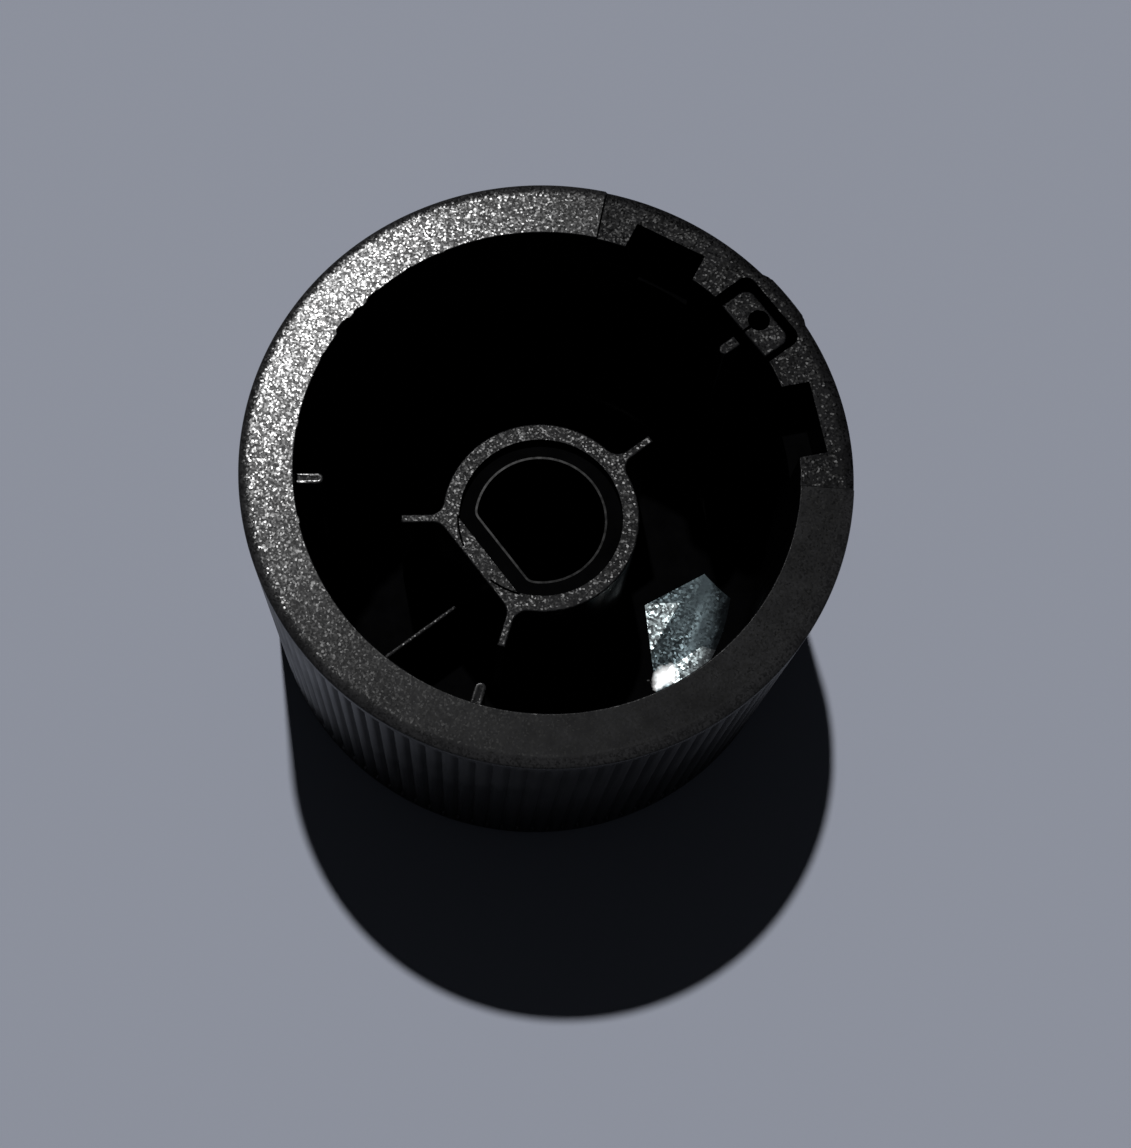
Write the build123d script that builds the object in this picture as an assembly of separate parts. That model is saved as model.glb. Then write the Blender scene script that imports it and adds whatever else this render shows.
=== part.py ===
from build123d import *
import math
import os

# Radio knob of black moulded plastic, resting on its front face with the open back up. Millimetres.
# The origin is the centre of the front face. +Z runs along the shaft bore and out of the open back,
# and +Y points from the axis to the pointer. The part is the same on both sides of the YZ plane.

# Skirt
rim_diameter = 27.0
front_diameter = 25.8
knob_height = 18.0
front_edge_chamfer = 0.6
rim_edge_chamfer = 0.25

# Flutes of the skirt, between a plain band at the rim and one at the front
flute_count = 110
flute_depth = 0.13
flute_crest_share = 0.4
flute_set_in = 0.02
rim_band_height = 0.6
front_band_height = 1.4

# Cup behind the front wall
rim_wall = 2.4
cup_taper = 0.2
front_wall = 2.0
cup_corner_radius = 2.6

# Pointer: a raised strip on the skirt, in front of the pocket for the insert
pointer_width = 3.0
pointer_rise = 0.15
pointer_root = 0.3

# Lowered stretch of the rim about the pointer, with a notch on each side of the pocket
lowered_half_angle = 41.3
lowered_depth = 0.15
notch_angle = 25.5
notch_width = 3.4
notch_length = 1.16
notch_depth = 3.0

# Insert behind the pointer, with its hole and the slit that runs from it to the cup
insert_width = 3.1
insert_thickness = 1.5
insert_height = 5.0
insert_drop = 0.5
insert_corner_radius = 0.5
insert_hole_diameter = 1.0
insert_hole_inset = 0.6
insert_slit_width = 0.14
pocket_side_gap = 0.4
pocket_outer_gap = 0.25
pocket_inner_gap = 0.3

# Boss with the shaft bore, whose flat lies opposite the pointer
boss_diameter = 9.16
boss_flat_distance = 3.92
boss_drop = 7.25
bore_diameter = 6.0
bore_flat_distance = 2.22
bore_edge_chamfer = 0.12
lead_in_width = 0.82
lead_in_flat_width = 0.88
lead_in_depth = 0.45
hairline_width = 0.1
hairline_depth = 0.15
hairline_spacing = 2.0

# Ribs: three on the boss, three on the cup wall at the same angles, and one low web behind the flat
rib_angles = (0, 144, 216)
boss_rib_thickness = 0.38
boss_rib_length = 1.92
boss_rib_root_radius = 0.7
wall_rib_thickness = 0.5
wall_rib_length = 1.25
wall_rib_drop = 1.3
web_thickness = 0.2
web_height = 3.85

# How far joined forms run into each other, and how far cuts run past the surfaces they open
joint_depth = 0.3
overrun = 1.0

rim_radius = rim_diameter / 2
front_radius = front_diameter / 2
cup_radius = rim_radius - rim_wall
boss_radius = boss_diameter / 2
bore_radius = bore_diameter / 2
boss_top = knob_height - boss_drop
lowered_top = knob_height - lowered_depth
lead_in_floor = boss_top - lead_in_depth
lead_in_radius = bore_radius + lead_in_width
lead_in_flat = bore_flat_distance + lead_in_flat_width
insert_top = lowered_top - insert_drop
pocket_floor = insert_top - insert_height
insert_inner = cup_radius
insert_outer = insert_inner + insert_thickness
past_rim = rim_radius + pointer_rise + overrun


def skirt_radius(height):
    return front_radius + (rim_radius - front_radius) * height / knob_height


def cup_wall_radius(height):
    return cup_radius - cup_taper * (knob_height - height) / (knob_height - front_wall)


def turned(points):
    return revolve(make_face(Plane.XZ * Polyline(*points, close=True)), Axis.Z)


def raised(plan, bottom, top):
    return extrude(Pos(0, 0, bottom) * plan, amount=top - bottom)


def radial_strip(width, inner, outer, angle):
    middle = (inner + outer) / 2
    return Rot(0, 0, angle) * Pos(0, middle) * Rectangle(width, outer - inner)


def lowest_circle(solid):
    return solid.edges().filter_by(GeomType.CIRCLE).sort_by(Axis.Z)[0]


def highest_circle(solid):
    return solid.edges().filter_by(GeomType.CIRCLE).sort_by(Axis.Z)[-1]


# Outline of the flutes at one height: a flat crest, then a groove of two straight sides
def flute_section(height):
    crest_radius = skirt_radius(height) - flute_set_in
    root_radius = crest_radius - flute_depth
    pitch = 2 * math.pi / flute_count
    half_crest = flute_crest_share * pitch / 2
    points = []
    for index in range(flute_count):
        middle = index * pitch
        for angle, radius in (
            (middle - half_crest, crest_radius),
            (middle + half_crest, crest_radius),
            (middle + pitch / 2, root_radius),
        ):
            points.append((radius * math.cos(angle), radius * math.sin(angle)))
    return Pos(0, 0, height) * make_face(Polyline(*points, close=True))


def fluted_skirt():
    rim_band_bottom = knob_height - rim_band_height
    front_band = turned(
        [
            (0, 0),
            (front_radius, 0),
            (skirt_radius(front_band_height), front_band_height),
            (0, front_band_height),
        ]
    )
    rim_band = turned(
        [
            (0, rim_band_bottom),
            (skirt_radius(rim_band_bottom), rim_band_bottom),
            (rim_radius, knob_height),
            (0, knob_height),
        ]
    )
    front_band = chamfer(lowest_circle(front_band), front_edge_chamfer)
    rim_band = chamfer(highest_circle(rim_band), rim_edge_chamfer)
    sections = [flute_section(front_band_height), flute_section(rim_band_bottom)]
    return front_band + loft(sections, ruled=True) + rim_band


# Smooth raised strip that follows the skirt's taper
def pointer_strip():
    bottom = front_edge_chamfer
    top = knob_height
    shell = turned(
        [
            (skirt_radius(bottom) - pointer_root, bottom),
            (skirt_radius(bottom) + pointer_rise, bottom),
            (skirt_radius(top) + pointer_rise, top),
            (skirt_radius(top) - pointer_root, top),
        ]
    )
    return shell & raised(radial_strip(pointer_width, 0, past_rim, 0), 0, knob_height)


def cup_hollow():
    hollow = turned(
        [
            (0, front_wall),
            (cup_wall_radius(front_wall), front_wall),
            (cup_wall_radius(knob_height + overrun), knob_height + overrun),
            (0, knob_height + overrun),
        ]
    )
    return fillet(lowest_circle(hollow), cup_corner_radius)


# Disc with one flat side towards -Y
def flatted_disc(radius, flat_distance):
    past_disc = radius + overrun
    kept = Pos(0, (past_disc - flat_distance) / 2) * Rectangle(2 * past_disc, past_disc + flat_distance)
    return Circle(radius) & kept


# Boss and its ribs in plan: drawn larger all round by the root radius, then shrunk by it,
# which rounds every inside corner
def boss_plan():
    grown_disc = boss_radius + boss_rib_root_radius
    grown_thickness = boss_rib_thickness + 2 * boss_rib_root_radius
    grown_reach = boss_radius + boss_rib_length + boss_rib_root_radius
    grown = flatted_disc(grown_disc, boss_flat_distance + boss_rib_root_radius)
    for angle in rib_angles:
        grown += radial_strip(grown_thickness, 0, grown_reach, angle)
    return offset(grown, -boss_rib_root_radius, kind=Kind.ARC)


# Rib on the cup wall, with a round inner end
def wall_rib(angle):
    inner = cup_radius - wall_rib_length
    end_radius = wall_rib_thickness / 2
    plan = radial_strip(wall_rib_thickness, inner + end_radius, cup_radius + joint_depth, angle)
    plan += Rot(0, 0, angle) * Pos(0, inner + end_radius) * Circle(end_radius)
    return raised(plan, front_wall - joint_depth, knob_height - wall_rib_drop)


def flat_web():
    plan = radial_strip(web_thickness, boss_flat_distance - joint_depth, cup_radius + joint_depth, 180)
    return raised(plan, front_wall - joint_depth, front_wall + web_height)


# Bore with a flat, the shallow lead-in around its mouth and the bevel between them
def bore_hollow():
    bore = raised(flatted_disc(bore_radius, bore_flat_distance), front_wall, boss_top + overrun)
    lead_in = raised(flatted_disc(lead_in_radius, lead_in_flat), lead_in_floor, boss_top + overrun)
    mouth = flatted_disc(bore_radius + bore_edge_chamfer, bore_flat_distance + bore_edge_chamfer)
    throat = flatted_disc(bore_radius, bore_flat_distance)
    throat_height = lead_in_floor - bore_edge_chamfer
    bevel = loft([Pos(0, 0, throat_height) * throat, Pos(0, 0, lead_in_floor) * mouth], ruled=True)
    return bore + lead_in + bevel


# Two hairlines that carry the lead-in's circle on into the wall behind the flat
def hairlines():
    ring = Circle(lead_in_radius + hairline_width) - Circle(lead_in_radius)
    behind_flat = radial_strip(boss_diameter, lead_in_flat - hairline_width, boss_radius, 180)
    middle = radial_strip(hairline_spacing, 0, boss_radius, 180)
    return raised((ring & behind_flat) - middle, boss_top - hairline_depth, boss_top + overrun)


def lowered_rim():
    reach = past_rim / math.cos(math.radians(lowered_half_angle))
    side = reach * math.sin(math.radians(lowered_half_angle))
    wedge = make_face(Polyline((0, 0), (side, past_rim), (-side, past_rim), close=True))
    return raised(wedge, lowered_top, knob_height + overrun)


def notch(angle):
    plan = radial_strip(notch_width, cup_radius - overrun, cup_radius + notch_length, angle)
    return raised(plan, knob_height - notch_depth, knob_height + overrun)


# Block with its two outer corners rounded, between two distances from the axis
def rounded_block(width, inner, outer):
    plan = radial_strip(width, inner, outer, 0)
    return fillet(plan.vertices().sort_by(Axis.Y)[-2:], insert_corner_radius)


def insert_pocket():
    width = insert_width + 2 * pocket_side_gap
    plan = rounded_block(width, insert_inner - pocket_inner_gap, insert_outer + pocket_outer_gap)
    return raised(plan, pocket_floor, knob_height + overrun)


def make_knob_body():
    body = fluted_skirt() + pointer_strip() - cup_hollow()
    body += raised(boss_plan(), front_wall - joint_depth, boss_top)
    for angle in rib_angles:
        body += wall_rib(angle)
    body += flat_web()
    body -= bore_hollow()
    body -= hairlines()
    body -= lowered_rim()
    for angle in (-notch_angle, notch_angle):
        body -= notch(angle)
    return body - insert_pocket()


def make_pointer_insert():
    hole_distance = insert_outer - insert_hole_inset
    plan = rounded_block(insert_width, insert_inner, insert_outer)
    plan -= Pos(0, hole_distance) * Circle(insert_hole_diameter / 2)
    plan -= radial_strip(insert_slit_width, insert_inner - overrun, hole_distance, 0)
    return raised(plan, pocket_floor, insert_top)


os.makedirs("parts", exist_ok=True)
export_step(make_knob_body(), "parts/knob_body.step")
export_step(make_pointer_insert(), "parts/pointer_insert.step")
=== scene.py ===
import math

import bpy
from mathutils import Matrix, Vector


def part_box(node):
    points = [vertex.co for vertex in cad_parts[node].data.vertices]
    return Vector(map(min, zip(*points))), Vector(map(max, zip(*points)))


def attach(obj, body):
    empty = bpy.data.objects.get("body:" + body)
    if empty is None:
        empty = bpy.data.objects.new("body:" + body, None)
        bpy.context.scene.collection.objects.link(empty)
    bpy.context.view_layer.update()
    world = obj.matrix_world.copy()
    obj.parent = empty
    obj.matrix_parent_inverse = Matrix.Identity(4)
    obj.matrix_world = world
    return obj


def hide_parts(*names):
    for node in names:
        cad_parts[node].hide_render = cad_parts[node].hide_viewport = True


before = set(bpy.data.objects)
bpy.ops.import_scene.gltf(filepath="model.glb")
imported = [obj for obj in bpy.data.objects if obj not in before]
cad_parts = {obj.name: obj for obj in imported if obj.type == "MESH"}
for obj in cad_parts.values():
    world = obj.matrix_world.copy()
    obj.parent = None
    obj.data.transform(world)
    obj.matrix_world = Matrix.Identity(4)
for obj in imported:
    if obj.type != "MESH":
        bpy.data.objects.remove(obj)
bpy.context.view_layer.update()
print("frame loaded:", sorted(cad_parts))

# A black moulded radio knob that lies on its front face, with its open back and shaft boss up.
# The frame is in metres. Meshes are shaped in millimetres and brought back to metres at the end.
mm = 0.001
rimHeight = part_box("knob_body")[1].z
insertLow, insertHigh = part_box("pointer_insert")

closeBy = 0.001      # mm, places nearer than this count as the same
weldWithin = 0.0001  # mm, points nearer than this become one
overlap = 0.3        # mm, how far joined forms run into each other
overrun = 1.0        # mm, how far cuts run past the surfaces they open
holdWidth = 0.02     # mm, narrow strip inside a rounded edge that keeps the face beside it flat
roundSegments = 3    # faces across a small rounded edge
smoothAngle = 34.0   # degrees, shading breaks at sharper edges


# Helpers for selecting and shaping

def selectOnly(piece):
    bpy.ops.object.select_all(action="DESELECT")
    piece.select_set(True)
    bpy.context.view_layer.objects.active = piece


def edit(piece, mode="VERT", action="SELECT"):
    selectOnly(piece)
    bpy.ops.object.mode_set(mode="EDIT")
    bpy.ops.mesh.select_mode(type=mode)
    bpy.ops.mesh.select_all(action=action)


def leaveEdit():
    bpy.ops.object.mode_set(mode="OBJECT")


def selectVerts(piece, wanted):
    edit(piece, "VERT", "DESELECT")
    leaveEdit()
    for vert in piece.data.vertices:
        vert.select = wanted(vert.co)
    bpy.ops.object.mode_set(mode="EDIT")


def selectFaces(piece, wanted):
    edit(piece, "FACE", "DESELECT")
    leaveEdit()
    for face in piece.data.polygons:
        face.select = wanted(face)
    bpy.ops.object.mode_set(mode="EDIT")


def selectEdges(piece, wanted):
    edit(piece, "EDGE", "DESELECT")
    leaveEdit()
    for line in piece.data.edges:
        line.select = all(wanted(piece.data.vertices[index].co) for index in line.vertices)
    bpy.ops.object.mode_set(mode="EDIT")


def shape(piece, tool, operation):
    selectOnly(piece)
    change = piece.modifiers.new("shape", "BOOLEAN")
    change.operation = operation
    change.solver = "EXACT"
    change.object = tool
    bpy.ops.object.modifier_apply(modifier=change.name)
    bpy.data.objects.remove(tool)


def joinTools(tools):
    selectOnly(tools[0])
    for tool in tools:
        tool.select_set(True)
    bpy.ops.object.join()
    return tools[0]


# Outlines are lists of points in plan, in millimetres, that run counter-clockwise
def arc(centre, radius, start, end, steps):
    angles = [math.radians(start + (end - start) * step / steps) for step in range(steps + 1)]
    across, along = centre
    return [(across + radius * math.cos(angle), along + radius * math.sin(angle)) for angle in angles]


# A disc with one flat side towards -Y and round corners beside it
def flattedDisc(radius, flat, corner, discSteps=144, cornerSteps=8):
    down = flat - corner
    out = math.sqrt((radius - corner) ** 2 - down ** 2)
    meeting = -math.degrees(math.atan2(down, out))
    points = arc((out, -down), corner, -90, meeting, cornerSteps)
    points += arc((0, 0), radius, meeting, 180 - meeting, discSteps)[1:-1]
    return points + arc((-out, -down), corner, 180 - meeting, 270, cornerSteps)


def turnOutline(points, angle):
    turn = Matrix.Rotation(math.radians(angle), 2)
    return [tuple(turn @ Vector(point)) for point in points]


# A flat face of the first outline, drawn up through the others
def stack(name, levels):
    bpy.ops.object.select_all(action="DESELECT")
    points = [(x, y, height) for outline, height in levels for x, y in outline]
    count = len(levels[0][0])
    faces = [list(reversed(range(count))), list(range(len(points) - count, len(points)))]
    for base in range(0, len(points) - count, count):
        for index in range(count):
            after = (index + 1) % count
            faces.append([base + index, base + after, base + count + after, base + count + index])
    mesh = bpy.data.meshes.new(name)
    mesh.from_pydata(points, [], faces)
    piece = bpy.data.objects.new(name, mesh)
    bpy.context.collection.objects.link(piece)
    return piece


def roundTop(piece, top, width):
    selectEdges(piece, lambda place: abs(place.z - top) < closeBy)
    bpy.ops.mesh.bevel(offset=width, segments=roundSegments, affect="EDGES")
    leaveEdit()


def insetTop(piece, top, width, depth=0.0):
    selectVerts(piece, lambda place: place.z > top - closeBy)
    bpy.ops.mesh.select_mode(type="FACE")
    bpy.ops.mesh.inset(thickness=width, depth=-depth)
    leaveEdit()


# One material slot for each finish that the piece uses
def giveFinishes(piece, finishFor):
    looks = [finishFor(face)["name"] for face in piece.data.polygons]
    used = sorted(set(looks))
    for name in used:
        piece.data.materials.append(finishes[name])
    for face, name in zip(piece.data.polygons, looks):
        face.material_index = used.index(name)


def finishMesh(piece, body, node):
    edit(piece)
    bpy.ops.mesh.remove_doubles(threshold=weldWithin)
    bpy.ops.mesh.normals_make_consistent(inside=False)
    bpy.ops.transform.resize(value=(mm, mm, mm), center_override=(0, 0, 0))
    leaveEdit()
    selectOnly(piece)
    bpy.ops.object.shade_smooth_by_angle(angle=math.radians(smoothAngle))
    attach(piece, body)
    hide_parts(node)


# Node helpers for the finishes

def addNode(tree, kind, **settings):
    node = tree.nodes.new(kind)
    for name, value in settings.items():
        setattr(node, name, value)
    return node


def setInputs(node, **values):
    for name, value in values.items():
        node.inputs[name].default_value = value
    return node


def newGroup(name, inputs, outputs):
    tree = bpy.data.node_groups.new(name, "ShaderNodeTree")
    for socket, value in inputs.items():
        made = tree.interface.new_socket(socket, in_out="INPUT", socket_type="NodeSocketFloat")
        made.default_value = value
    for socket in outputs:
        kind = "NodeSocketVector" if socket == "Normal" else "NodeSocketFloat"
        tree.interface.new_socket(socket, in_out="OUTPUT", socket_type=kind)
    return tree, addNode(tree, "NodeGroupInput"), addNode(tree, "NodeGroupOutput")


def combine(tree, operation, first, second):
    node = addNode(tree, "ShaderNodeMath", operation=operation)
    for socket, value in zip(node.inputs, (first, second)):
        if isinstance(value, (int, float)):
            socket.default_value = value
        else:
            tree.links.new(value, socket)
    return node.outputs[0]


def vectorMath(tree, operation, *values):
    node = addNode(tree, "ShaderNodeVectorMath", operation=operation)
    for socket, value in zip(node.inputs, values):
        if isinstance(value, tuple):
            socket.default_value = value
        else:
            tree.links.new(value, socket)
    return node


def ramp(tree, value, low, high):
    node = addNode(tree, "ShaderNodeMapRange", clamp=True)
    tree.links.new(value, node.inputs["Value"])
    setInputs(node, **{"From Min": low, "From Max": high})
    return node.outputs["Result"]


def mixColours(tree, mask, first, second):
    node = addNode(tree, "ShaderNodeMix", data_type="RGBA")
    tree.links.new(mask, node.inputs["Factor"])
    for socket, value in ((node.inputs[6], first), (node.inputs[7], second)):
        if isinstance(value, tuple):
            socket.default_value = (*value, 1)
        else:
            tree.links.new(value, socket)
    return node.outputs[2]


def newFinish(name, **constants):
    finish = bpy.data.materials.new(name)
    finish.use_nodes = True
    tree = finish.node_tree
    shader = tree.nodes["Principled BSDF"]
    setInputs(shader, **constants)
    return finish, tree, shader


def useGroup(tree, group, **values):
    node = addNode(tree, "ShaderNodeGroup", node_tree=group)
    return setInputs(node, **values)


# Grain that a spark-eroded mould leaves: small facets that each lean their own way, over slow patches.
# Here and below, the scale of a pattern is its count to the metre
grainPattern = {
    "scale": 10000.0,
    "lean": 0.1,
    "leanMiddle": (0.5, 0.38, 0.5),   # the facets lean a little towards the pointer
    "patchScale": 700.0,
    "patchDetail": 3.0,
    "patchRange": (0.1, 0.62),
}


def makeErodedGrain():
    inputs = {"Scale": grainPattern["scale"], "Lean": grainPattern["lean"]}
    tree, entry, result = newGroup("erodedGrain", inputs, ("Grain", "Patches", "Normal"))
    place = addNode(tree, "ShaderNodeTexCoord").outputs["Object"]
    facets = addNode(tree, "ShaderNodeTexVoronoi", feature="F1")
    slow = addNode(tree, "ShaderNodeTexNoise")
    setInputs(slow, Scale=grainPattern["patchScale"], Detail=grainPattern["patchDetail"])
    for node in (facets, slow):
        tree.links.new(place, node.inputs["Vector"])
    tree.links.new(entry.outputs["Scale"], facets.inputs["Scale"])
    shares = addNode(tree, "ShaderNodeSeparateColor")
    tree.links.new(facets.outputs["Color"], shares.inputs["Color"])
    chance = vectorMath(tree, "SUBTRACT", facets.outputs["Color"], grainPattern["leanMiddle"])
    lean = vectorMath(tree, "SCALE", chance.outputs["Vector"])
    tree.links.new(entry.outputs["Lean"], lean.inputs["Scale"])
    straight = addNode(tree, "ShaderNodeNewGeometry").outputs["Normal"]
    leaning = vectorMath(tree, "ADD", straight, lean.outputs["Vector"]).outputs["Vector"]
    tree.links.new(vectorMath(tree, "NORMALIZE", leaning).outputs["Vector"], result.inputs["Normal"])
    tree.links.new(shares.outputs["Red"], result.inputs["Grain"])
    patches = ramp(tree, slow.outputs["Fac"], *grainPattern["patchRange"])
    tree.links.new(patches, result.inputs["Patches"])
    return tree


# Thin dust and handling marks that vary slowly over a surface, with a few single specks
dustPattern = {
    "scale": 160.0,
    "detail": 5.0,
    "roughness": 0.55,
    "range": (0.4, 0.7),
    "speckScale": 4200.0,
    "speckDetail": 1.0,
    "speckRange": (0.7, 0.78),
}


def makeDustFilm():
    tree, entry, result = newGroup("dustFilm", {"Scale": dustPattern["scale"]}, ("Film", "Specks"))
    place = addNode(tree, "ShaderNodeTexCoord").outputs["Object"]
    film = addNode(tree, "ShaderNodeTexNoise")
    setInputs(film, Detail=dustPattern["detail"], Roughness=dustPattern["roughness"])
    specks = addNode(tree, "ShaderNodeTexNoise")
    setInputs(specks, Scale=dustPattern["speckScale"], Detail=dustPattern["speckDetail"])
    for node in (film, specks):
        tree.links.new(place, node.inputs["Vector"])
    tree.links.new(entry.outputs["Scale"], film.inputs["Scale"])
    tree.links.new(ramp(tree, film.outputs["Fac"], *dustPattern["range"]), result.inputs["Film"])
    tree.links.new(ramp(tree, specks.outputs["Fac"], *dustPattern["speckRange"]), result.inputs["Specks"])
    return tree


# Fine lines along the draw of the mould
linePattern = {
    "scale": 2600.0,
    "stretch": (1, 1, 0.03),
    "detail": 3.0,
    "roughness": 0.6,
    "range": (0.35, 0.68),
}


def makeDrawLines():
    tree, entry, result = newGroup("drawLines", {"Scale": linePattern["scale"]}, ("Lines",))
    stretch = setInputs(addNode(tree, "ShaderNodeMapping"), Scale=linePattern["stretch"])
    lines = addNode(tree, "ShaderNodeTexNoise")
    setInputs(lines, Detail=linePattern["detail"], Roughness=linePattern["roughness"])
    tree.links.new(addNode(tree, "ShaderNodeTexCoord").outputs["Object"], stretch.inputs["Vector"])
    tree.links.new(stretch.outputs["Vector"], lines.inputs["Vector"])
    tree.links.new(entry.outputs["Scale"], lines.inputs["Scale"])
    tree.links.new(ramp(tree, lines.outputs["Fac"], *linePattern["range"]), result.inputs["Lines"])
    return tree


erodedGrain = makeErodedGrain()
dustFilm = makeDustFilm()
drawLines = makeDrawLines()


def mapRoughness(tree, mask, look, shader):
    rough = addNode(tree, "ShaderNodeMapRange")
    setInputs(rough, **{"To Min": look["roughLow"], "To Max": look["roughHigh"]})
    tree.links.new(mask, rough.inputs["Value"])
    tree.links.new(rough.outputs["Result"], shader.inputs["Roughness"])


# The rim is worn towards its outer edge: the facets lean further there, and hold more dust
def wearOutwards(tree, look, grain, mask):
    place = addNode(tree, "ShaderNodeTexCoord").outputs["Object"]
    inPlan = vectorMath(tree, "MULTIPLY", place, (1, 1, 0)).outputs["Vector"]
    radius = vectorMath(tree, "LENGTH", inPlan).outputs["Value"]
    worn = ramp(tree, radius, look["wornFrom"] * mm, look["wornTo"] * mm)
    further = combine(tree, "MULTIPLY", worn, look["wornLean"] - look["lean"])
    tree.links.new(combine(tree, "ADD", further, look["lean"]), grain.inputs["Lean"])
    return combine(tree, "ADD", mask, combine(tree, "MULTIPLY", worn, look["wornDust"]))


def makeGrainFinish(look):
    finish, tree, shader = newFinish(look["name"], **{"Specular IOR Level": look["specular"]})
    grain = useGroup(tree, erodedGrain, Scale=look["grainScale"], Lean=look["lean"])
    mask = combine(tree, "MULTIPLY", grain.outputs["Grain"], grain.outputs["Patches"])
    if "wornLean" in look:
        mask = wearOutwards(tree, look, grain, mask)
    tree.links.new(mixColours(tree, mask, look["dark"], look["light"]), shader.inputs["Base Color"])
    mapRoughness(tree, grain.outputs["Grain"], look, shader)
    tree.links.new(grain.outputs["Normal"], shader.inputs["Normal"])
    return finish


# Rim face, straight from the eroded mould: fine pits under a clear sheen
rimGrain = {
    "name": "rimGrainFinish",
    "dark": (0.001, 0.001, 0.0011),
    "light": (0.02, 0.02, 0.021),
    "specular": 0.122,
    "roughLow": 0.165,
    "roughHigh": 0.215,
    "grainScale": 12500.0,
    "lean": 0.08,
    "wornFrom": 12.8,
    "wornTo": 13.2,
    "wornLean": 0.13,
    "wornDust": 0.32,
}

# Lowered stretch of the rim and the insert: dull and mottled
dullGrain = {
    "name": "dullGrainFinish",
    "dark": (0.001, 0.001, 0.0011),
    "light": (0.013, 0.013, 0.014),
    "specular": 0.03,
    "roughLow": 0.25,
    "roughHigh": 0.4,
    "grainScale": 12000.0,
    "lean": 0.22,
}

# Ends of the boss and the ribs
endGrain = {
    "name": "endGrainFinish",
    "dark": (0.001, 0.001, 0.0011),
    "light": (0.018, 0.018, 0.019),
    "specular": 0.055,
    "roughLow": 0.22,
    "roughHigh": 0.32,
    "grainScale": 12500.0,
    "lean": 0.19,
}

finishes = {look["name"]: makeGrainFinish(look) for look in (rimGrain, dullGrain, endGrain)}


# Walls inside the cup, and every cut in them: polished, with fine lines along the draw
drawnWall = {
    "name": "drawnWallFinish",
    "clean": (0.0012, 0.0012, 0.0013),
    "dusty": (0.0022, 0.0022, 0.0024),
    "specular": 0.11,
    "roughLow": 0.16,
    "roughHigh": 0.24,
    "lineScale": 2600.0,
}


def makeDrawnFinish(look):
    finish, tree, shader = newFinish(look["name"], **{"Specular IOR Level": look["specular"]})
    drawn = useGroup(tree, drawLines, Scale=look["lineScale"])
    colour = mixColours(tree, drawn.outputs["Lines"], look["clean"], look["dusty"])
    tree.links.new(colour, shader.inputs["Base Color"])
    mapRoughness(tree, drawn.outputs["Lines"], look, shader)
    return finish


# Floor of the cup, and of every cut: polished
cupFloor = {
    "name": "cupFloorFinish",
    "clean": (0.0012, 0.0012, 0.0013),
    "dusty": (0.0018, 0.0018, 0.002),
    "specular": 0.001,
    "roughLow": 0.04,
    "roughHigh": 0.07,
    "lineScale": 900.0,
}

# Pad on the floor with a dull, streaked grain. Its lighter bluish colour and bluish reflection tint are
# painted light: the pool of light that falls on this patch
padFloorPaintedLight = {
    "name": "padFloorFinish",
    "clean": (0.003, 0.0034, 0.004),
    "dullAndPaintedLight": (0.02, 0.025, 0.03),
    "specular": 0.28,
    "tint": (0.7, 0.92, 1.0),
    "ior": 1.5,
    "roughLow": 0.3,
    "roughHigh": 0.55,
    "lean": 0.2,
}

# Painted highlight on a corner of the pad's floor and along its edge against the wall: lighter colour,
# bluish tint and a strong reflection
paintedHighlightPad = {
    "name": "padBrightFinish",
    "clean": (0.02, 0.021, 0.023),
    "dullAndPaintedLight": (0.05, 0.053, 0.057),
    "specular": 1.0,
    "tint": (0.84, 0.98, 1.0),
    "ior": 1.62,
    "roughLow": 0.26,
    "roughHigh": 0.4,
    "lean": 0.3,
}

# Floor just beside the pad, smooth apart from the polished spot
padBeside = {
    "name": "padBesideFinish",
    "clean": (0.0012, 0.0012, 0.0013),
    "dullAndPaintedLight": (0.0018, 0.0018, 0.002),
    "specular": 0.001,
    "tint": (1.0, 1.0, 1.0),
    "ior": 1.5,
    "roughLow": 0.04,
    "roughHigh": 0.07,
    "lean": 0.0,
}

# Polished spot in the round corner at the pad's edge: its middle and reach, in millimetres
polish = {
    "middle": (8.2, 1.85, 2.0),
    "squeeze": (1.0, 0.7, 1.0),
    "core": 0.55,
    "reach": 0.95,
    "ragged": 0.75,
    "raggedScale": 1600.0,
    "raggedDetail": 3.0,
    "rough": 0.42,
    "ior": 4.0,
}

# Streaks of the pad's grain
streak = {
    "angle": 114.0,
    "stretch": (0.35, 1, 1),
    "scale": 700.0,
    "detail": 2.0,
    "roughness": 0.55,
    "distortion": 0.6,
    "range": (0.38, 0.62),
    "grainScale": 9000.0,
}


def padStreaks(tree, place):
    turn = addNode(tree, "ShaderNodeMapping", vector_type="TEXTURE")
    setInputs(turn, Rotation=(0, 0, math.radians(streak["angle"])))
    stretch = setInputs(addNode(tree, "ShaderNodeMapping"), Scale=streak["stretch"])
    lines = addNode(tree, "ShaderNodeTexNoise")
    setInputs(lines, Scale=streak["scale"], Detail=streak["detail"])
    setInputs(lines, Roughness=streak["roughness"], Distortion=streak["distortion"])
    tree.links.new(place, turn.inputs["Vector"])
    tree.links.new(turn.outputs["Vector"], stretch.inputs["Vector"])
    tree.links.new(stretch.outputs["Vector"], lines.inputs["Vector"])
    return ramp(tree, lines.outputs["Fac"], *streak["range"])


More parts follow.
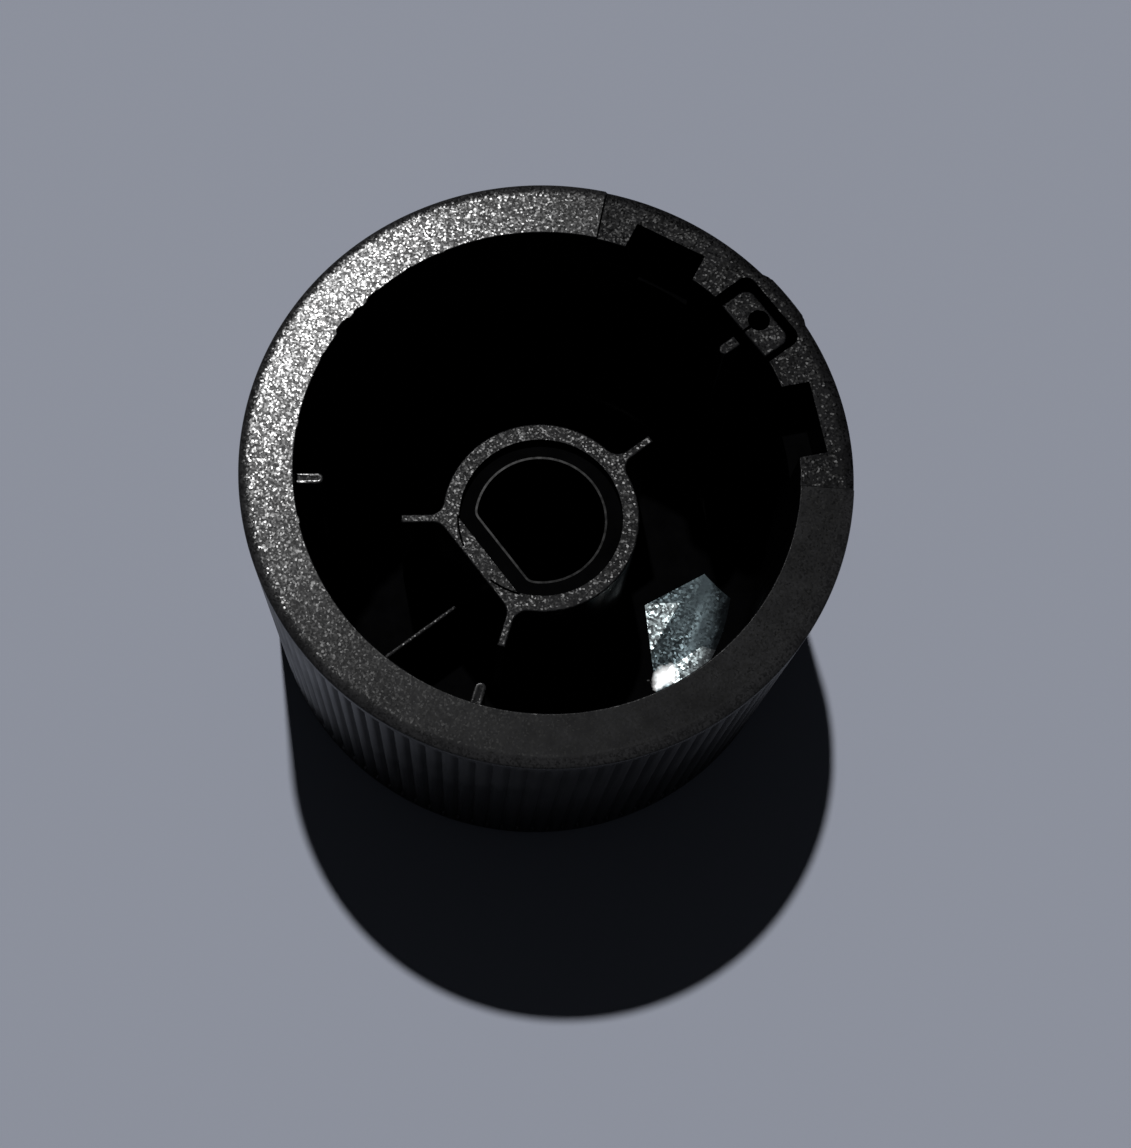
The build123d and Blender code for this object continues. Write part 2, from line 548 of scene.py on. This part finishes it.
# Mask of the polished spot: the distance from its middle, made ragged
def polishedSpot(tree, place):
    ragged = addNode(tree, "ShaderNodeTexNoise")
    setInputs(ragged, Scale=polish["raggedScale"], Detail=polish["raggedDetail"])
    tree.links.new(place, ragged.inputs["Vector"])
    middle = tuple(value * mm for value in polish["middle"])
    offset = vectorMath(tree, "SUBTRACT", place, middle).outputs["Vector"]
    squeezed = vectorMath(tree, "MULTIPLY", offset, polish["squeeze"]).outputs["Vector"]
    distance = vectorMath(tree, "LENGTH", squeezed).outputs["Value"]
    uneven = combine(tree, "MULTIPLY", ragged.outputs["Fac"], polish["ragged"] * mm)
    away = combine(tree, "ADD", distance, uneven)
    return ramp(tree, away, polish["reach"] * mm, polish["core"] * mm)


def makePadFinish(look):
    constants = {
        "Specular IOR Level": look["specular"],
        "Specular Tint": (*look["tint"], 1),
        "IOR": look["ior"],
        "Coat Roughness": polish["rough"],
        "Coat IOR": polish["ior"],
    }
    finish, tree, shader = newFinish(look["name"], **constants)
    place = addNode(tree, "ShaderNodeTexCoord").outputs["Object"]
    mask = padStreaks(tree, place)
    grain = useGroup(tree, erodedGrain, Scale=streak["grainScale"], Lean=look["lean"])
    # The lighter colour under the streaks is streaked grain and painted light inside the lit patch
    streaksAndPaintedLight = combine(tree, "MULTIPLY", mask, grain.outputs["Grain"])
    tree.links.new(mixColours(tree, streaksAndPaintedLight, look["clean"], look["dullAndPaintedLight"]), shader.inputs["Base Color"])
    mapRoughness(tree, mask, look, shader)
    tree.links.new(polishedSpot(tree, place), shader.inputs["Coat Weight"])
    tree.links.new(grain.outputs["Normal"], shader.inputs["Normal"])
    return finish


# Skirt and front: satin, with a film of dust
satinSkirt = {
    "name": "satinSkirtFinish",
    "clean": (0.0012, 0.0012, 0.0014),
    "dusty": (0.004, 0.004, 0.0044),
    "speck": (0.025, 0.025, 0.026),
    "specular": 0.18,
    "roughLow": 0.36,
    "roughHigh": 0.48,
    "filmScale": 160.0,
}


def makeSatinFinish(look):
    finish, tree, shader = newFinish(look["name"], **{"Specular IOR Level": look["specular"]})
    dust = useGroup(tree, dustFilm, Scale=look["filmScale"])
    film = mixColours(tree, dust.outputs["Film"], look["clean"], look["dusty"])
    colour = mixColours(tree, dust.outputs["Specks"], film, look["speck"])
    tree.links.new(colour, shader.inputs["Base Color"])
    mapRoughness(tree, dust.outputs["Film"], look, shader)
    return finish


finishes[drawnWall["name"]] = makeDrawnFinish(drawnWall)
finishes[cupFloor["name"]] = makeDrawnFinish(cupFloor)
for look in (padFloorPaintedLight, paintedHighlightPad, padBeside):
    finishes[look["name"]] = makePadFinish(look)
finishes[satinSkirt["name"]] = makeSatinFinish(satinSkirt)
print("finishes made:", len(finishes))


# Upright share of a normal above which a face counts as an end, a flat floor and so on
facing = {
    "up": 0.6,
    "rimEdge": 0.3,
    "floor": 0.1,     # with the floor's round corner
    "flat": 0.9999,
}


# Knob body: one moulding, turned first, then fluted, with the boss and ribs joined in and the rim cut
shell = {
    "rimRadius": 13.5,
    "frontRadius": 12.9,
    "height": rimHeight / mm,
    "frontChamfer": 0.6,
    "frontBand": 1.4,        # plain band between the front and the flutes
    "rimBand": 0.6,          # plain band between the flutes and the rim
    "crownWidth": 0.42,      # outer strip of the rim that curves down to the edge
    "crownTilt": 12.0,
    "crownSteps": 3,
    "rimRound": 0.13,
    "cupRadius": 11.1,
    "cupTaper": 0.2,
    "cupFloor": 2.0,
    "cupCorner": 2.6,
    "cornerSteps": 10,
    "edgeRound": 0.045,
    "roundSteps": 5,
    "flutes": 110,
    "columnsPerFlute": 8,
    "fluteRamp": 0.12,       # height over which a flute runs out into a band
    "fluteDepth": 0.15,
    "fluteShares": (0, 0, 0.17, 0.58, 1),   # depth from the crest's middle to the groove's
    "pointerWidth": 3.0,
    "pointerRise": 0.15,
    "pointerRamp": 0.35,     # width of the slope at each side of the pointer
    "pointerSteps": 4,
    "loweredHalfAngle": 41.3,
    "loweredDepth": 0.15,
}


def skirtRadius(height):
    return shell["frontRadius"] + (shell["rimRadius"] - shell["frontRadius"]) * height / shell["height"]


def cupRadius(height):
    down = (shell["height"] - height) / (shell["height"] - shell["cupFloor"])
    return shell["cupRadius"] - shell["cupTaper"] * down


# Radius and height of each ring, from the edge of the front face out, up, over the rim and down the cup
def shellRings():
    top = shell["height"]
    bandTop, bandBottom = shell["frontBand"], top - shell["rimBand"]
    edge = shell["edgeRound"]
    heights = (shell["frontChamfer"], bandTop, bandTop + shell["fluteRamp"],
               bandBottom - shell["fluteRamp"], bandBottom)
    rings = [(shell["frontRadius"] - shell["frontChamfer"], 0)]
    rings += [(skirtRadius(height), height) for height in heights]
    rounding, tilt = shell["rimRound"], shell["crownTilt"]
    crown = shell["crownWidth"] / math.sin(math.radians(tilt))
    edgeTop = top - crown * (1 - math.cos(math.radians(tilt)))
    middle = edgeTop - rounding * math.cos(math.radians(tilt))
    centre = (skirtRadius(middle) - rounding, middle)
    flatEnd = centre[0] + rounding * math.sin(math.radians(tilt)) - shell["crownWidth"]
    rings += arc(centre, rounding, 0, 90 - tilt, shell["roundSteps"])
    rings += arc((flatEnd, top - crown), crown, 90 - tilt, 90, shell["crownSteps"])[1:]
    rings += [(flatEnd - holdWidth, top), (shell["cupRadius"] + edge + holdWidth, top)]
    rings += arc((shell["cupRadius"] + edge, top - edge), edge, 90, 180, shell["roundSteps"])
    cornerTop = shell["cupFloor"] + shell["cupCorner"]
    inset = cupRadius(cornerTop) - shell["cupCorner"]
    rings += arc((inset, cornerTop), shell["cupCorner"], 0, -90, shell["cornerSteps"])
    return rings + [(inset - holdWidth, shell["cupFloor"])]


# Dull pad on the cup's floor, with painted light on it: its outline follows a patch of light, its inner
# side the boss's shadow edge, and its brighter corner and streak are painted highlights.
# Each line across the floor has the azimuth of its normal, its distance from the axis, and 1 or -1 for the
# side that is kept
padAndPaintedLight = {
    "ends": ((-8.6, 4.18, 1), (93.7, 6.38, -1)),
    "inner": ((59.0, 5.3, 1),),
    "besideInner": ((59.0, 4.5, 1),),
    "paintedHighlight": ((-35.1, 1.87, 1), (22.8, 7.1, -1)),
    "streak": ((-4.6, 7.75, 1),),
    "highlightStreakAngles": (13.0, 28.0),
    "rise": 0.52,    # how far the pad runs up the floor's round corner
}


def sideDirection(azimuth):
    return Vector((math.cos(math.radians(azimuth)), math.sin(math.radians(azimuth)), 0))


def within(place, lines):
    for azimuth, distance, kept in lines:
        if kept * (place.dot(sideDirection(azimuth)) - distance) <= 0:
            return False
    return True


# Pad finishes: painted light inside the lit patch, painted highlight in its bright corner and along the
# streak
def padAndPaintedLightFinish(face):
    if face.center.z > shell["cupFloor"] + padAndPaintedLight["rise"]:
        return cupFloor
    if not within(face.center, padAndPaintedLight["ends"] + padAndPaintedLight["inner"]):
        return padBeside if within(face.center, padAndPaintedLight["ends"] + padAndPaintedLight["besideInner"]) else cupFloor
    if face.normal.z > facing["flat"]:
        return paintedHighlightPad if within(face.center, padAndPaintedLight["paintedHighlight"]) else padFloorPaintedLight
    azimuth = math.degrees(math.atan2(face.center.y, face.center.x))
    first, last = padAndPaintedLight["highlightStreakAngles"]
    return paintedHighlightPad if first < azimuth < last and within(face.center, padAndPaintedLight["streak"]) else padFloorPaintedLight


def onCupFloor(face):
    low = shell["cupFloor"] - closeBy
    return low < face.center.z < low + shell["cupCorner"] and face.normal.z > facing["floor"]


def markPadAndPaintedLight(knob):
    lines = padAndPaintedLight["ends"] + padAndPaintedLight["inner"] + padAndPaintedLight["besideInner"] + padAndPaintedLight["paintedHighlight"] + padAndPaintedLight["streak"]
    for azimuth, distance, kept in lines:
        selectFaces(knob, onCupFloor)
        away = sideDirection(azimuth)
        bpy.ops.mesh.bisect(plane_co=distance * away, plane_no=away)
        leaveEdit()


def columnShare(place):
    columns = shell["flutes"] * shell["columnsPerFlute"]
    column = round(math.atan2(place.y, place.x) / (2 * math.pi) * columns) % shell["columnsPerFlute"]
    return shell["fluteShares"][min(column, shell["columnsPerFlute"] - column)]


def onPointer(place):
    return abs(place.x) <= shell["pointerWidth"] / 2 and place.y > shell["cupRadius"] + overrun


def inLowered(place):
    return abs(math.degrees(math.atan2(place.x, place.y))) <= shell["loweredHalfAngle"]


def resizeAbout(factor):
    bpy.ops.transform.resize(value=(factor, factor, 1), center_override=(0, 0, 0))
    leaveEdit()


def turnShell():
    bpy.ops.object.select_all(action="DESELECT")
    rings = shellRings()
    radius, height = rings[0]
    bpy.ops.mesh.primitive_circle_add(vertices=shell["flutes"] * shell["columnsPerFlute"], radius=radius)
    knob = bpy.context.active_object
    knob.name = "knob"
    edit(knob, "EDGE")
    for nextRadius, nextHeight in rings[1:]:
        bpy.ops.mesh.extrude_region_move(TRANSFORM_OT_translate={"value": (0, 0, nextHeight - height)})
        factor = nextRadius / radius
        bpy.ops.transform.resize(value=(factor, factor, 1), center_override=(0, 0, 0))
        radius, height = nextRadius, nextHeight
    bpy.ops.mesh.edge_face_add()
    leaveEdit()
    selectEdges(knob, lambda place: place.z < closeBy)
    bpy.ops.mesh.edge_face_add()
    bpy.ops.mesh.select_all(action="SELECT")
    bpy.ops.mesh.normals_make_consistent(inside=False)
    leaveEdit()
    return knob


def cutFlutes(knob):
    bottom = shell["frontBand"] + shell["fluteRamp"] - closeBy
    top = shell["height"] - shell["rimBand"] - shell["fluteRamp"] + closeBy
    outside = shell["cupRadius"] + overrun
    for share in sorted(set(shell["fluteShares"])):
        if share:
            selectVerts(knob, lambda place: bottom < place.z < top and place.xy.length > outside
                        and not onPointer(place) and columnShare(place) == share)
            resizeAbout(1 - share * shell["fluteDepth"] / shell["rimRadius"])


def raisePointer(knob):
    bottom = shell["frontChamfer"] - closeBy
    half = shell["pointerWidth"] / 2
    steps = shell["pointerSteps"]
    for step in range(steps):
        reach = half - shell["pointerRamp"] * step / (steps - 1) + closeBy
        selectVerts(knob, lambda place: onPointer(place) and place.z > bottom and abs(place.x) < reach)
        resizeAbout(1 + shell["pointerRise"] / steps / shell["rimRadius"])


def lowerRim(knob):
    bandBottom = shell["height"] - shell["rimBand"] + closeBy
    selectVerts(knob, lambda place: place.z > bandBottom and inLowered(place))
    bpy.ops.transform.translate(value=(0, 0, -shell["loweredDepth"]))
    leaveEdit()


# Nicks and burrs of the rim's inner edge: azimuth, half width in degrees, and depth into the rim
innerEdge = {
    "width": 0.245,
    "nicks": (
        (197.2, 2.2, 0.09),
        (197.6, 1.4, 0.05),
        (187.0, 1.4, 0.05),
        (192.4, 0.8, 0.05),
        (190.0, 0.7, -0.06),
        (206.0, 0.9, 0.04),
        (223.0, 0.8, -0.04),
        (168.0, 0.7, -0.03),
        (176.5, 0.9, 0.03),
        (246.0, 0.8, -0.05),
    ),
}


def nickEdge(knob):
    low = shell["height"] - shell["edgeRound"] - closeBy
    inner = shell["cupRadius"] - overrun
    outer = shell["cupRadius"] + innerEdge["width"] + closeBy
    for azimuth, half, depth in innerEdge["nicks"]:
        middle = sideDirection(azimuth).xy
        spread = math.cos(math.radians(half))
        selectVerts(knob, lambda place: place.z > low and inner < place.xy.length < outer
                    and place.xy.normalized().dot(middle) > spread)
        resizeAbout(1 + depth / shell["cupRadius"])


# Boss: a round ring with a flat side, three thin ribs with flared roots, and the bore for the shaft
boss = {
    "radius": 4.58,
    "flat": 3.92,
    "top": 10.75,
    "ribAngles": (90, 234, 306),
    "ribHalf": 0.19,
    "ribReach": 6.5,
    "flare": 0.7,
    "arcSteps": 8,
    "ringSteps": 40,
    "boreRadius": 3.0,
    "boreFlat": 2.22,
    "boreCorner": 0.5,
    "lipWidth": 0.1,        # raised line round the mouth of the bore
    "lipRise": 0.03,
    "leadRadius": 3.82,
    "leadFlat": 3.1,
    "leadCorner": 0.12,
    "leadDepth": 0.45,
    "hairlineWidth": 0.1,
    "hairlineDepth": 0.15,
    "hairlineAngles": (15.2, 38.0),   # either side of the flat's middle
    "edgeRound": 0.06,
}


def azimuthOf(point):
    return math.degrees(math.atan2(point[1], point[0])) % 360


# Flare of a rib against the ring, or against the flat side where the rib stands beside it
def flareCentre(angle, side):
    offset = boss["ribHalf"] + boss["flare"]
    along = Vector((math.cos(math.radians(angle)), math.sin(math.radians(angle))))
    across = side * Vector((-along.y, along.x))
    besideFlat = along.y < 0 and across.x * along.x < 0
    if besideFlat:
        distance = (-(boss["flat"] + boss["flare"]) - offset * across.y) / along.y
    else:
        distance = math.sqrt((boss["radius"] + boss["flare"]) ** 2 - offset ** 2)
    return distance * along + offset * across, besideFlat


def ribOutline(angle):
    along = Vector((math.cos(math.radians(angle)), math.sin(math.radians(angle))))
    half = boss["ribHalf"] * Vector((-along.y, along.x))
    tip = boss["ribReach"] * along
    right, rightOnFlat = flareCentre(angle, -1)
    left, leftOnFlat = flareCentre(angle, 1)
    straightUp = 90 + 360
    rightStart = straightUp if rightOnFlat else azimuthOf(right) + 180
    leftEnd = straightUp if leftOnFlat else azimuthOf(left) + 180
    points = arc(right, boss["flare"], rightStart, angle + 90, boss["arcSteps"])
    points += [tuple(tip - half), tuple(tip + half)]
    return points + arc(left, boss["flare"], angle + 270, leftEnd, boss["arcSteps"])


# The ribs' outlines, with the ring's arcs between them, but none along the flat side
def bossOutline():
    points = []
    angles = boss["ribAngles"]
    for angle, after in zip(angles, angles[1:] + angles[:1]):
        points += ribOutline(angle)
        alongFlat = flareCentre(angle, 1)[1]
        if not alongFlat:
            start = azimuthOf(points[-1])
            end = azimuthOf(ribOutline(after)[0])
            end += 360 if end < start else 0
            points += arc((0, 0), boss["radius"], start, end, boss["ringSteps"])[1:-1]
    return points


def borePlan(wider):
    return flattedDisc(boss["boreRadius"] + wider, boss["boreFlat"] + wider, boss["boreCorner"] + wider)


def makeBore():
    mouth = boss["top"] - boss["leadDepth"]
    lipTop = mouth + boss["lipRise"]
    throat = borePlan(0)
    lip = borePlan(boss["lipWidth"])
    lead = flattedDisc(boss["leadRadius"], boss["leadFlat"], boss["leadCorner"])
    levels = [(throat, shell["cupFloor"] - overlap / 2), (throat, lipTop), (lip, lipTop)]
    levels += [(lip, mouth), (lead, mouth), (lead, boss["top"] + overrun)]
    return stack("bore", levels)


# One of the two lines that carry the lead-in's circle on behind the flat
def makeHairline(side):
    near, far = boss["hairlineAngles"]
    inner = boss["leadRadius"]
    outer = inner + boss["hairlineWidth"]
    first, last = sorted((270 + side * near, 270 + side * far))
    line = arc((0, 0), outer, first, last, boss["arcSteps"])
    line += reversed(arc((0, 0), inner, first, last, boss["arcSteps"]))
    return stack("hairline", [(line, boss["top"] - boss["hairlineDepth"]), (line, boss["top"] + overrun)])


def makeBoss():
    outline = bossOutline()
    ring = stack("boss", [(outline, shell["cupFloor"] - overlap), (outline, boss["top"])])
    roundTop(ring, boss["top"], boss["edgeRound"])
    insetTop(ring, boss["top"], holdWidth)
    shape(ring, makeBore(), "DIFFERENCE")
    for side in (-1, 1):
        shape(ring, makeHairline(side), "DIFFERENCE")
    return ring


# Ribs on the cup wall, in line with the boss ribs, and the low web behind the bore's flat
wallRib = {
    "half": 0.25,
    "inner": 9.85,
    "top": 16.7,
    "edgeRound": 0.05,
    "endSteps": 8,
    "webHalf": 0.1,
    "webTop": 5.85,
    "webRound": 0.06,
    "dishInset": 0.1,       # the top is sunk a little inside its edge
    "dishDepth": 0.012,
}


def makeWallRibs():
    half = wallRib["half"]
    outer = shell["cupRadius"] + overlap
    bottom = shell["cupFloor"] - overlap
    plan = [(outer, -half), (outer, half)]
    plan += arc((wallRib["inner"] + half, 0), half, 90, 270, wallRib["endSteps"])
    ribs = []
    for angle in boss["ribAngles"]:
        outline = turnOutline(plan, angle)
        rib = stack("wallRib", [(outline, bottom), (outline, wallRib["top"])])
        roundTop(rib, wallRib["top"], wallRib["edgeRound"])
        insetTop(rib, wallRib["top"], wallRib["dishInset"], wallRib["dishDepth"])
        ribs.append(rib)
    inner = boss["flat"] - overlap
    half = wallRib["webHalf"]
    outline = turnOutline([(inner, -half), (outer, -half), (outer, half), (inner, half)], 270)
    web = stack("web", [(outline, bottom), (outline, wallRib["webTop"])])
    roundTop(web, wallRib["webTop"], wallRib["webRound"])
    insetTop(web, wallRib["webTop"], holdWidth)
    return joinTools(ribs), web


# Cuts of the rim: two notches and the pocket between them
rimCut = {
    "notchAngles": (64.5, 115.5),
    "notchHalf": 1.7,
    "notchOuter": 12.26,
    "notchFloor": 15.0,
    "pocketHalf": 1.95,
    "pocketInner": 10.8,
    "pocketOuter": 12.85,
    "pocketFloor": insertLow.z / mm,
    "pocketCorner": 0.5,
    "cornerSteps": 6,
}


# A block whose two outer corners are round, out along +X
def roundedBlock(half, inner, outer, corner):
    steps = rimCut["cornerSteps"]
    points = [(inner, -half)]
    points += arc((outer - corner, corner - half), corner, -90, 0, steps)
    points += arc((outer - corner, half - corner), corner, 0, 90, steps)
    return points + [(inner, half)]


def makeRimCuts():
    top = shell["height"] + overrun
    half = rimCut["notchHalf"]
    inner, outer = shell["cupRadius"] - overrun, rimCut["notchOuter"]
    cuts = []
    for angle in rimCut["notchAngles"]:
        outline = turnOutline([(inner, -half), (outer, -half), (outer, half), (inner, half)], angle)
        cuts.append(stack("notch", [(outline, rimCut["notchFloor"]), (outline, top)]))
    inner, outer = rimCut["pocketInner"], rimCut["pocketOuter"]
    plan = roundedBlock(rimCut["pocketHalf"], inner, outer, rimCut["pocketCorner"])
    outline = turnOutline(plan, 90)
    cuts.append(stack("pocket", [(outline, rimCut["pocketFloor"]), (outline, top)]))
    return joinTools(cuts)


# Finish of a face of the knob, by its place and the way it faces
def finishOf(face):
    radius, height, upright = face.center.xy.length, face.center.z, face.normal.z
    rimLevel = shell["height"] - shell["loweredDepth"] - 2 * shell["rimRound"]
    skirtDepth = shell["rimRound"] + shell["fluteDepth"] + overlap
    if height > rimLevel and upright > facing["rimEdge"]:
        onInnerEdge = radius < shell["cupRadius"] + shell["edgeRound"] and upright < facing["flat"]
        return dullGrain if inLowered(face.center) or onInnerEdge else rimGrain
    if radius > skirtRadius(height) - skirtDepth or height < shell["cupFloor"] - overlap:
        return satinSkirt
    onBoss = radius < boss["ribReach"] + closeBy and height > boss["top"] - boss["edgeRound"]
    onRib = abs(height - wallRib["top"]) < wallRib["edgeRound"] + closeBy
    onWeb = abs(height - wallRib["webTop"]) < wallRib["webRound"] + closeBy
    if upright > facing["up"] and onRib:
        # Painted highlight: the sloped faces of the rib tops, their dish and rounded edges, on the -Y side
        # get the glossier, lighter rim finish so that they glint; flat tops and the other side stay dull
        return dullGrain if upright > facing["flat"] or face.center.y > 0 else rimGrain
    if upright > facing["up"] and (onBoss or onWeb):
        return endGrain
    lipOuter = boss["boreRadius"] + boss["lipWidth"]
    lipHeight = boss["top"] - boss["leadDepth"] + boss["lipRise"]
    if radius < lipOuter and abs(height - lipHeight) < closeBy:
        return drawnWall
    if onCupFloor(face):
        return padAndPaintedLightFinish(face)
    return cupFloor if upright > facing["floor"] else drawnWall


def makeKnob():
    knob = turnShell()
    markPadAndPaintedLight(knob)
    cutFlutes(knob)
    raisePointer(knob)
    lowerRim(knob)
    nickEdge(knob)
    print("shell turned:", len(knob.data.polygons), "faces")
    ribs, web = makeWallRibs()
    shape(knob, ribs, "UNION")
    shape(knob, web, "UNION")
    shape(knob, makeBoss(), "UNION")
    shape(knob, makeRimCuts(), "DIFFERENCE")
    giveFinishes(knob, finishOf)
    finishMesh(knob, "root", "knob_body")
    return knob


knob = makeKnob()
print("knob:", len(knob.data.polygons), "faces")


# Insert: a small block with a hole and a slit, loose in its pocket
insertBlock = {
    "half": 1.55,
    "corner": 0.5,
    "holeRadius": 0.5,
    "holeInset": 0.6,
    "slitHalf": 0.07,
    "edgeRound": 0.07,
    "holeSteps": 40,
}


def makeInsert():
    inner, outer = insertLow.y / mm, insertHigh.y / mm
    bottom, top = insertLow.z / mm, insertHigh.z / mm
    outline = turnOutline(roundedBlock(insertBlock["half"], inner, outer, insertBlock["corner"]), 90)
    insert = stack("pointerInsert", [(outline, bottom), (outline, top)])
    roundTop(insert, top, insertBlock["edgeRound"])
    insetTop(insert, top, holdWidth)
    holePlace = (0, outer - insertBlock["holeInset"])
    holeOutline = arc(holePlace, insertBlock["holeRadius"], 0, 360, insertBlock["holeSteps"])[:-1]
    hole = stack("hole", [(holeOutline, bottom - overrun), (holeOutline, top + overrun)])
    shape(insert, hole, "DIFFERENCE")
    half = insertBlock["slitHalf"]
    strip = [(-half, inner - overrun), (half, inner - overrun), (half, holePlace[1]), (-half, holePlace[1])]
    shape(insert, stack("slit", [(strip, bottom - overrun), (strip, top + overrun)]), "DIFFERENCE")
    giveFinishes(insert, lambda face: dullGrain if face.normal.z > facing["up"] else drawnWall)
    finishMesh(insert, "root", "pointer_insert")
    return insert


insert = makeInsert()
print("insert:", len(insert.data.polygons), "faces")


# Floor, light and camera
stage = {
    "floorSize": 6.0,
    "floorColour": (0.298, 0.318, 0.38),
    "floorRoughness": 0.9,
    "fillAbove": (0.017, 0.018, 0.02),
    "fillAround": (0.034, 0.036, 0.041),
    "fillAroundTop": 0.45,     # height on the unit sphere where the lighter band around ends
    "keyAzimuth": 153.0,
    "keyElevation": 64.15,
    "keyAngle": 1.5,
    "keyStrength": 2.9,
}


def makeFloor():
    bpy.ops.object.select_all(action="DESELECT")
    bpy.ops.mesh.primitive_plane_add(size=stage["floorSize"])
    floor = bpy.context.active_object
    floor.name = "floor"
    finish, tree, shader = newFinish("floorFinish", Roughness=stage["floorRoughness"])
    shader.inputs["Base Color"].default_value = (*stage["floorColour"], 1)
    floor.data.materials.append(finish)


def makeLight():
    world = bpy.data.worlds.new("studio")
    bpy.context.scene.world = world
    world.use_nodes = True
    tree = world.node_tree
    direction = addNode(tree, "ShaderNodeTexCoord").outputs["Generated"]
    parts = addNode(tree, "ShaderNodeSeparateXYZ")
    tree.links.new(direction, parts.inputs["Vector"])
    above = ramp(tree, parts.outputs["Z"], 0, stage["fillAroundTop"])
    fill = mixColours(tree, above, stage["fillAround"], stage["fillAbove"])
    tree.links.new(fill, tree.nodes["Background"].inputs["Color"])
    lamp = bpy.data.lights.new("key", "SUN")
    lamp.angle = math.radians(stage["keyAngle"])
    lamp.energy = stage["keyStrength"]
    key = bpy.data.objects.new("key", lamp)
    bpy.context.collection.objects.link(key)
    azimuth = math.radians(stage["keyAzimuth"])
    elevation = math.radians(stage["keyElevation"])
    towards = Vector((math.cos(azimuth) * math.cos(elevation),
                      math.sin(azimuth) * math.cos(elevation), math.sin(elevation)))
    key.rotation_euler = towards.to_track_quat("Z", "Y").to_euler()


photoView = {
    "frame": (1131, 1148),         # pixels
    "rimCentre": (533.6, 471.4),   # pixel that the rim's centre is turned to before the roll
    "focal": 2502.6,               # pixels
    "distance": 0.10974,
    "aimHeight": 0.01775,
    "azimuth": 45.0,
    "elevation": 70.85,
    "roll": 7.93,
    "sensor": 36.0,                # millimetres
    "clipStart": 0.001,
}


def makeCamera():
    wide, high = photoView["frame"]
    azimuth = math.radians(photoView["azimuth"])
    elevation = math.radians(photoView["elevation"])
    away = Vector((math.sin(azimuth) * math.cos(elevation),
                   -math.cos(azimuth) * math.cos(elevation), math.sin(elevation)))
    eye = Vector((0, 0, photoView["aimHeight"])) + photoView["distance"] * away
    right = Vector((0, 0, 1)).cross(away).normalized()
    upward = away.cross(right)
    aimed = Matrix((right, upward, away)).transposed().to_4x4()
    across = (photoView["rimCentre"][0] - wide / 2) / photoView["focal"]
    up = (high / 2 - photoView["rimCentre"][1]) / photoView["focal"]
    pan = Matrix.Rotation(math.atan(across), 4, "Y")
    tilt = Matrix.Rotation(-math.atan2(up, math.hypot(1, across)), 4, "X")
    roll = Matrix.Rotation(math.radians(photoView["roll"]), 4, "Z")
    lens = bpy.data.cameras.new("photoCamera")
    lens.sensor_fit = "VERTICAL"
    lens.sensor_height = photoView["sensor"]
    lens.lens = photoView["sensor"] * photoView["focal"] / high
    lens.clip_start = photoView["clipStart"]
    camera = bpy.data.objects.new("photoCamera", lens)
    bpy.context.collection.objects.link(camera)
    camera.matrix_world = Matrix.Translation(eye) @ aimed @ pan @ tilt @ roll
    bpy.context.scene.camera = camera


makeFloor()
makeLight()
makeCamera()
bpy.context.scene.view_settings.view_transform = "Standard"
print("stage, light and camera set")
